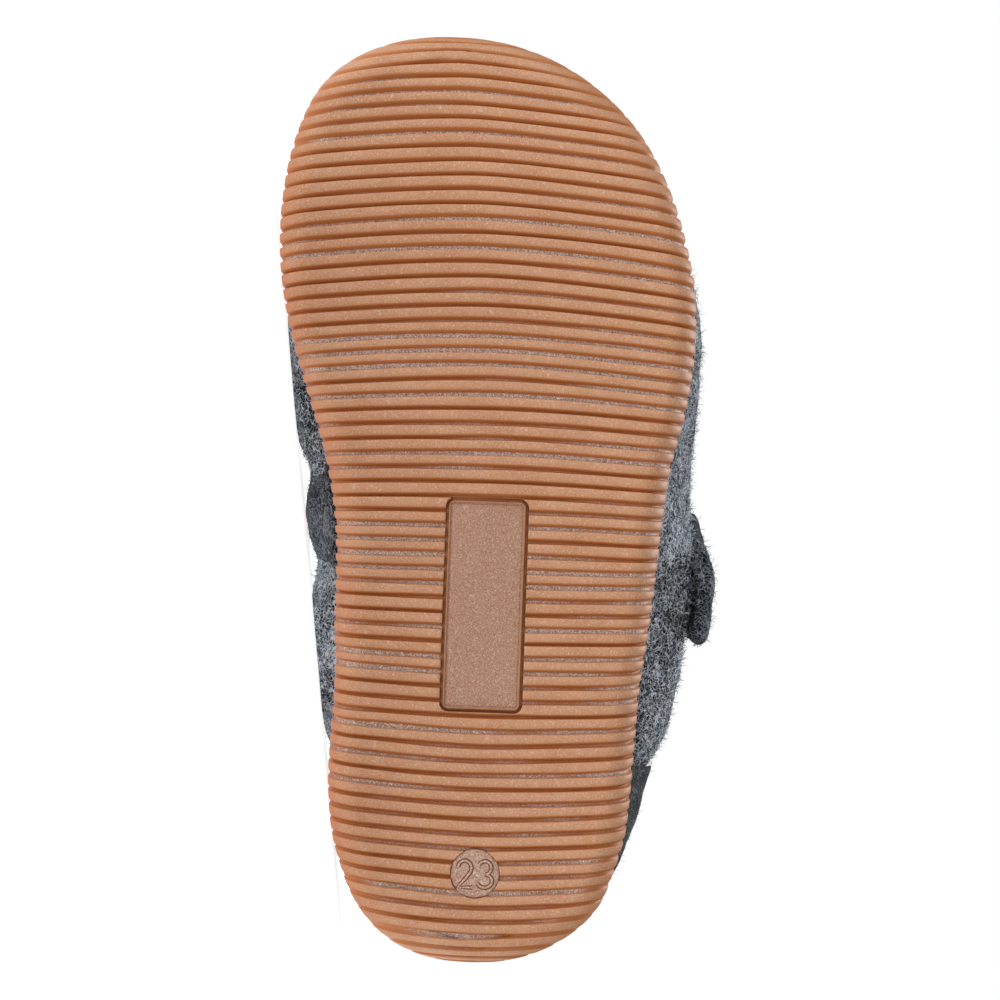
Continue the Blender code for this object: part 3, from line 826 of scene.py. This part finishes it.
# Felt: each piece starts from its own solid, with its edges and faces rounded
felt = {
    "weld": 0.00001, "joinAngle": 40, "shapeAngle": 60,
    "lump": 0.00075, "lumpSize": 0.0075, "small": 0.00026, "smallSize": 0.0022,
    # the first pair: heights over the lip across which the painted shade near the sole fades out
    "paintedShadeFrom": -0.0002, "paintedShadeTo": 0.0026, "freeFrom": 0.0006, "freeTo": 0.006, "floorGap": 0.00002,
}


def softened(node, name, levels):
    bm = bmesh.new()
    bm.from_mesh(frame["nodes"][node].data)
    bmesh.ops.remove_doubles(bm, verts=bm.verts, dist=felt["weld"])
    bmesh.ops.join_triangles(
        bm, faces=bm.faces, angle_face_threshold=math.radians(felt["joinAngle"]),
        angle_shape_threshold=math.radians(felt["shapeAngle"]),
    )
    mesh = bpy.data.meshes.new(name)
    bm.to_mesh(mesh)
    bm.free()
    piece = bpy.data.objects.new(name, mesh)
    bpy.context.scene.collection.objects.link(piece)
    rounding = piece.modifiers.new("rounding", "SUBSURF")
    rounding.levels = rounding.render_levels = levels
    settled(piece)
    piece.data.shade_smooth()
    return piece


def normalsOf(mesh):
    found = np.zeros(len(mesh.vertices) * 3)
    mesh.vertex_normals.foreach_get("vector", found)
    return found.reshape(-1, 3)


def lumps(points, size, seed):
    return np.array([noise.noise(Vector(p) / size + Vector((seed, seed, seed))) for p in points])


# Height over the sole's lip at the same share of the length
def overLip(own):
    return own[:, 2] - lipAt(own[:, 0] / lastLength) - springAt(own[:, 0])


# How deep a place lies in the painted shade where the felt goes into the sole's cup, from 0 to 1
def paintedShadeMask(own):
    return 1 - smoothStep(overLip(own), felt["paintedShadeFrom"], felt["paintedShadeTo"])


# Soft lumps over a felt piece, and its creases, clear of the sole's cup and the floor
def ruffle(piece, seed, amount=1.0, creases=(), swells=()):
    points, normals = pointsOf(piece.data), normalsOf(piece.data)
    own = toShoe(points)
    free = smoothStep(overLip(own), felt["freeFrom"], felt["freeTo"])
    push = lumps(points, felt["lumpSize"], seed) * felt["lump"]
    push += lumps(points, felt["smallSize"], seed + 7) * felt["small"]
    push *= amount
    for start, end, width, deep in creases:
        a, b = np.array(start), np.array(end)
        t = np.clip(((own - a) @ (b - a)) / ((b - a) @ (b - a)), 0, 1)
        away = np.linalg.norm(own - a - t[:, None] * (b - a), axis=1)
        ends = np.sin(np.pi * np.clip(t * 0.96 + 0.02, 0, 1)) ** 0.5
        push -= deep * np.exp(-(away / width) ** 2) * ends
    swell = np.zeros_like(own)
    for middle, reach, by in swells:
        near = np.exp(-np.sum(((own - np.array(middle)) / np.array(reach)) ** 2, axis=1))
        swell += near[:, None] * np.array(by)
    moved = points + normals * (push * free)[:, None] + (swell * free[:, None]) @ shoeTurn.T
    moved[:, 2] = np.maximum(moved[:, 2], felt["floorGap"])
    movePoints(piece.data, moved)
    # the mask of the painted shade near the sole's cup
    paintPoints(piece.data, "painted_tuck_shade", paintedShadeMask(toShoe(moved)))
    return piece


# start, end, width and depth of each crease on the outside, in the slipper's own frame
upperCreases = (
    ((0.092, 0.040, 0.018), (0.098, 0.028, 0.036), 0.0030, 0.0010),
    ((0.112, 0.036, 0.016), (0.116, 0.022, 0.032), 0.0034, 0.0009),
    ((0.094, -0.036, 0.018), (0.098, -0.026, 0.036), 0.0030, 0.0008),
    ((0.114, -0.036, 0.016), (0.118, -0.024, 0.030), 0.0034, 0.0008),
    ((0.044, 0.032, 0.020), (0.050, 0.034, 0.040), 0.0034, 0.0009),
    ((0.046, -0.028, 0.020), (0.050, -0.030, 0.040), 0.0032, 0.0007),
)

# middle, reach and push of each place where the felt stands out or is held in
upperSwells = (
    ((0.057, -0.031, 0.024), (0.019, 0.012, 0.015), (0, -0.0031, 0)),
    ((0.092, -0.035, 0.020), (0.013, 0.010, 0.014), (0, -0.0028, 0)),
    ((0.084, 0.037, 0.023), (0.008, 0.010, 0.014), (0, -0.0014, 0)),
    ((0.067, 0.037, 0.024), (0.013, 0.008, 0.006), (0, 0.0012, -0.0006)),
    ((0.044, 0.033, 0.026), (0.008, 0.010, 0.010), (0, 0.0009, 0)),
)
heelSwells = (((0.027, 0.024, 0.022), (0.013, 0.012, 0.016), (0, -0.0011, 0)),)
strapSwells = (
    ((0.079, 0.039, 0.026), (0.0065, 0.010, 0.009), (-0.0010, -0.0030, 0.0030)),
    ((0.064, 0.043, 0.026), (0.011, 0.009, 0.010), (0, 0.0028, 0)),
    ((0.064, 0.038, 0.0205), (0.013, 0.010, 0.008), (-0.0009, -0.0024, -0.0034)),
    ((0.063, -0.032, 0.020), (0.006, 0.010, 0.016), (0.0012, 0.0026, 0)),
    ((0.092, -0.032, 0.020), (0.009, 0.010, 0.016), (-0.0012, 0.0032, 0)),
    ((0.077, -0.034, 0.024), (0.008, 0.010, 0.012), (0, -0.0008, 0)),
)
upper = ruffle(softened("upper", "felt_upper", 2), 1, 1.0, upperCreases, upperSwells + heelSwells)
dress(upper, upperFelt, ("upper",))
strap = ruffle(softened("strap", "felt_strap", 3), 3, 0.7, (), strapSwells)
dress(strap, strapFelt, ("strap",))
counter = ruffle(softened("heel_counter", "felt_counter", 2), 1, 0.5, (), heelSwells)
dress(counter, counterFelt, ("heel_counter",))
dress(softened("insole", "felt_insole", 2), insoleFelt, ("insole",))
print("felt pieces", len(upper.data.polygons), len(strap.data.polygons))


# Loose wool: curly fibres rooted on the felt, each a tapered tube with three sides.
# Lengths and radius in metres, angles in degrees, and tones as the two shapes of a beta draw.
woolLook = {
    "count": 8900, "steps": 4, "radius": 0.000060, "taper": 0.45, "length": (0.0005, 0.0020),
    "lift": (6, 55), "curl": (90, 380), "tumble": 0.4, "cling": 0.35, "tones": (0.72, 0.42),
}


def unit(vectors, least=0.0):
    return vectors / np.maximum(np.linalg.norm(vectors, axis=1, keepdims=True), least)


# Random places on a skin, thicker where weigh says so, with the way out at each
def scattered(mesh, count, weigh, rng):
    mesh.calc_loop_triangles()
    corners = np.zeros(len(mesh.loop_triangles) * 3, int)
    mesh.loop_triangles.foreach_get("vertices", corners)
    a, b, c = (pointsOf(mesh)[corners.reshape(-1, 3)[:, k]] for k in range(3))
    cross = np.cross(b - a, c - a)
    chance = np.linalg.norm(cross, axis=1)
    normal = cross / np.maximum(chance[:, None], 1e-15)
    if weigh:
        chance = chance * weigh(toShoe((a + b + c) / 3), normal @ shoeTurn)
    pick = rng.choice(len(chance), count, p=chance / chance.sum())
    u, v = rng.random(count), rng.random(count)
    flip = u + v > 1
    u, v = np.where(flip, 1 - u, u), np.where(flip, 1 - v, v)
    root = a[pick] + (b - a)[pick] * u[:, None] + (c - a)[pick] * v[:, None]
    return root, normal[pick]


# The curling course of every fibre: its places, its headings and the axis it turns on
def curled(root, out, look, rng):
    n, steps = len(root), look["steps"]
    spin = rng.normal(size=(n, 3))
    flat = unit(spin - np.sum(spin * out, axis=1, keepdims=True) * out)
    lift = np.radians(rng.uniform(*look["lift"], n))[:, None]
    heading = flat * np.cos(lift) + out * np.sin(lift)
    axis = unit(out * rng.choice([-1, 1], n)[:, None] + rng.normal(size=(n, 3)) * look["tumble"])
    turn = np.radians(rng.uniform(*look["curl"], n)) / steps
    step = (rng.uniform(*look["length"], n) / steps)[:, None]
    cosine, sine = np.cos(turn)[:, None], np.sin(turn)[:, None]
    path, headings = [root - out * look["radius"]], [heading]
    for _ in range(steps):
        along = np.sum(axis * heading, axis=1, keepdims=True)
        heading = heading * cosine + np.cross(axis, heading) * sine + axis * along * (1 - cosine)
        heading = unit(heading - out * look["cling"] / steps)
        path.append(path[-1] + heading * step)
        headings.append(heading)
    return path, headings, axis


# Points of every fibre: a ring of three at each step but the last, which is its tip
def fibrePoints(path, headings, axis, thick, look):
    rings = []
    for k, (at, way) in enumerate(zip(path[:-1], headings[:-1])):
        first = unit(np.cross(way, axis), 1e-9)
        second = np.cross(way, first)
        size = (thick * (1 - look["taper"] * k / look["steps"]))[:, None]
        for corner in range(3):
            angle = corner * 2 * math.pi / 3
            rings.append(at + (first * math.cos(angle) + second * math.sin(angle)) * size)
    rings.append(path[-1])
    return np.stack(rings, axis=1)


def fibreFaces(count, steps):
    local = [[2, 1, 0]]
    for k in range(steps - 1):
        for j in range(3):
            i = (j + 1) % 3
            local.append([3 * k + j, 3 * k + i, 3 * k + 3 + i])
            local.append([3 * k + j, 3 * k + 3 + i, 3 * k + 3 + j])
    last, tip = 3 * (steps - 1), 3 * steps
    local += [[last + j, last + (j + 1) % 3, tip] for j in range(3)]
    starts = np.arange(count) * (tip + 1)
    return (np.array(local)[None] + starts[:, None, None]).reshape(-1, 3).tolist()


def growFibres(name, skin, look, seed, material, weigh=None):
    rng = np.random.default_rng(seed)
    root, out = scattered(skin.data, look["count"], weigh, rng)
    path, headings, axis = curled(root, out, look, rng)
    thick = look["radius"] * rng.uniform(0.75, 1.25, len(root))
    points = fibrePoints(path, headings, axis, thick, look)
    points = points[points[:, :, 2].min(axis=1) > 0.0001]  # none goes into the floor
    count, each = points.shape[:2]
    piece = meshPiece(name, points.reshape(-1, 3), fibreFaces(count, look["steps"]), material)
    tone = rng.beta(*look["tones"], count)
    paintPoints(piece.data, "tone", np.repeat(tone, each))
    paintPoints(piece.data, "painted_tuck_shade", np.repeat(paintedShadeMask(toShoe(points[:, 0])), each))
    piece.data.shade_smooth()
    return piece


# More fibres on the sides that stand out past the sole, none in the cup or inside the slipper
def outsideWeight(own, normal):
    share = own[:, 0] / lastLength
    beyond = own[:, 1] - spineAt(share)
    endways = np.sign(share - 0.5) * normal[:, 0]
    outward = np.sign(beyond) * normal[:, 1] + 0.5 * normal[:, 2] + 0.6 * endways
    low = 0.14 + smoothStep(0.040 - own[:, 2], -0.006, 0.010)
    return smoothStep(overLip(own), -0.0005, 0.001) * low * smoothStep(outward, 0.1, 0.3)


woolSeeds = {"wool_a": 5, "wool_b": 6, "wool_c": 7}
for label, seed in woolSeeds.items():
    growFibres(label, upper, woolLook, seed, upperFibre, outsideWeight)
strapLook = {**woolLook, "count": 5200, "tones": (0.6, 0.7)}
growFibres("strap_wool", strap, strapLook, 11, strapFibre)
counterLook = {**woolLook, "count": 1900, "radius": 0.00004, "length": (0.0005, 0.0014)}
growFibres("counter_nap", counter, counterLook, 12, strapFibre)
print("fibres grown")


# Stage, light and camera
stage = {
    "floor": 6.0, "glow": 0.77, "sky": 0.37, "lightAim": (0, 0, 0.035),
    "away": 0.370, "aimX": 0.08065, "aimY": 0.00207, "roll": 2.0, "lens": 77.8,
}
# place, size and power of each soft light
lights = {
    "key": ((-1.00, -0.50, 0.45), 0.45, 3.6),
    "fill": ((0.10, -1.00, 0.45), 0.6, 1.0),
    "top": ((0.05, 0.45, 0.90), 0.5, 6.0),
}


def addFloor():
    bpy.ops.mesh.primitive_plane_add(size=stage["floor"])
    floor = bpy.context.object
    floor.name = "floor"
    made, _, shader = newMaterial("pale floor")
    shader.inputs["Base Color"].default_value = (0.93, 0.93, 0.93, 1)
    shader.inputs["Roughness"].default_value = 0.9
    shader.inputs["Specular IOR Level"].default_value = 0.0
    shader.inputs["Emission Color"].default_value = (1, 1, 1, 1)
    shader.inputs["Emission Strength"].default_value = stage["glow"]
    floor.data.materials.append(made)


def addLight(name, place, size, power):
    lamp = bpy.data.lights.new(name, "AREA")
    lamp.shape = "SQUARE"
    lamp.size = size
    lamp.energy = power
    holder = bpy.data.objects.new(name, lamp)
    bpy.context.scene.collection.objects.link(holder)
    holder.location = place
    holder.rotation_mode = "QUATERNION"
    holder.rotation_quaternion = (Vector(stage["lightAim"]) - Vector(place)).to_track_quat("-Z", "Y")


# Looks straight at the tread, with the toe up
def addCamera():
    turn = shoe.to_3x3()
    toe, outer, up = turn.col[0], turn.col[1], turn.col[2]
    roll = math.radians(stage["roll"])
    right = outer * math.cos(roll) + toe * math.sin(roll)
    top = toe * math.cos(roll) - outer * math.sin(roll)
    aim = shoe @ Vector((stage["aimX"], stage["aimY"], 0))
    camera = bpy.data.objects.new("camera", bpy.data.cameras.new("camera"))
    bpy.context.scene.collection.objects.link(camera)
    spot = aim - up * stage["away"]
    camera.matrix_world = Matrix.Translation(spot) @ Matrix((right, top, -up)).transposed().to_4x4()
    camera.data.lens = stage["lens"]
    camera.data.sensor_width = 36.0
    camera.data.clip_start = 0.01
    bpy.context.scene.camera = camera


# White behind the slipper, and a softer white for its light
def addWorld():
    world = bpy.data.worlds.new("studio")
    world.use_nodes = True
    w = Wiring(world.node_tree)
    back = world.node_tree.nodes["Background"]
    seen = w.node("ShaderNodeLightPath").outputs["Is Camera Ray"]
    world.node_tree.links.new(w.ramp(seen, 0.0, 1.0, stage["sky"], 1.0), back.inputs["Strength"])
    back.inputs["Color"].default_value = (1, 1, 1, 1)
    bpy.context.scene.world = world


addFloor()
addWorld()
for name, light in lights.items():
    addLight(name, *light)
addCamera()
bpy.context.scene.view_settings.view_transform = "Standard"
print("stage set")
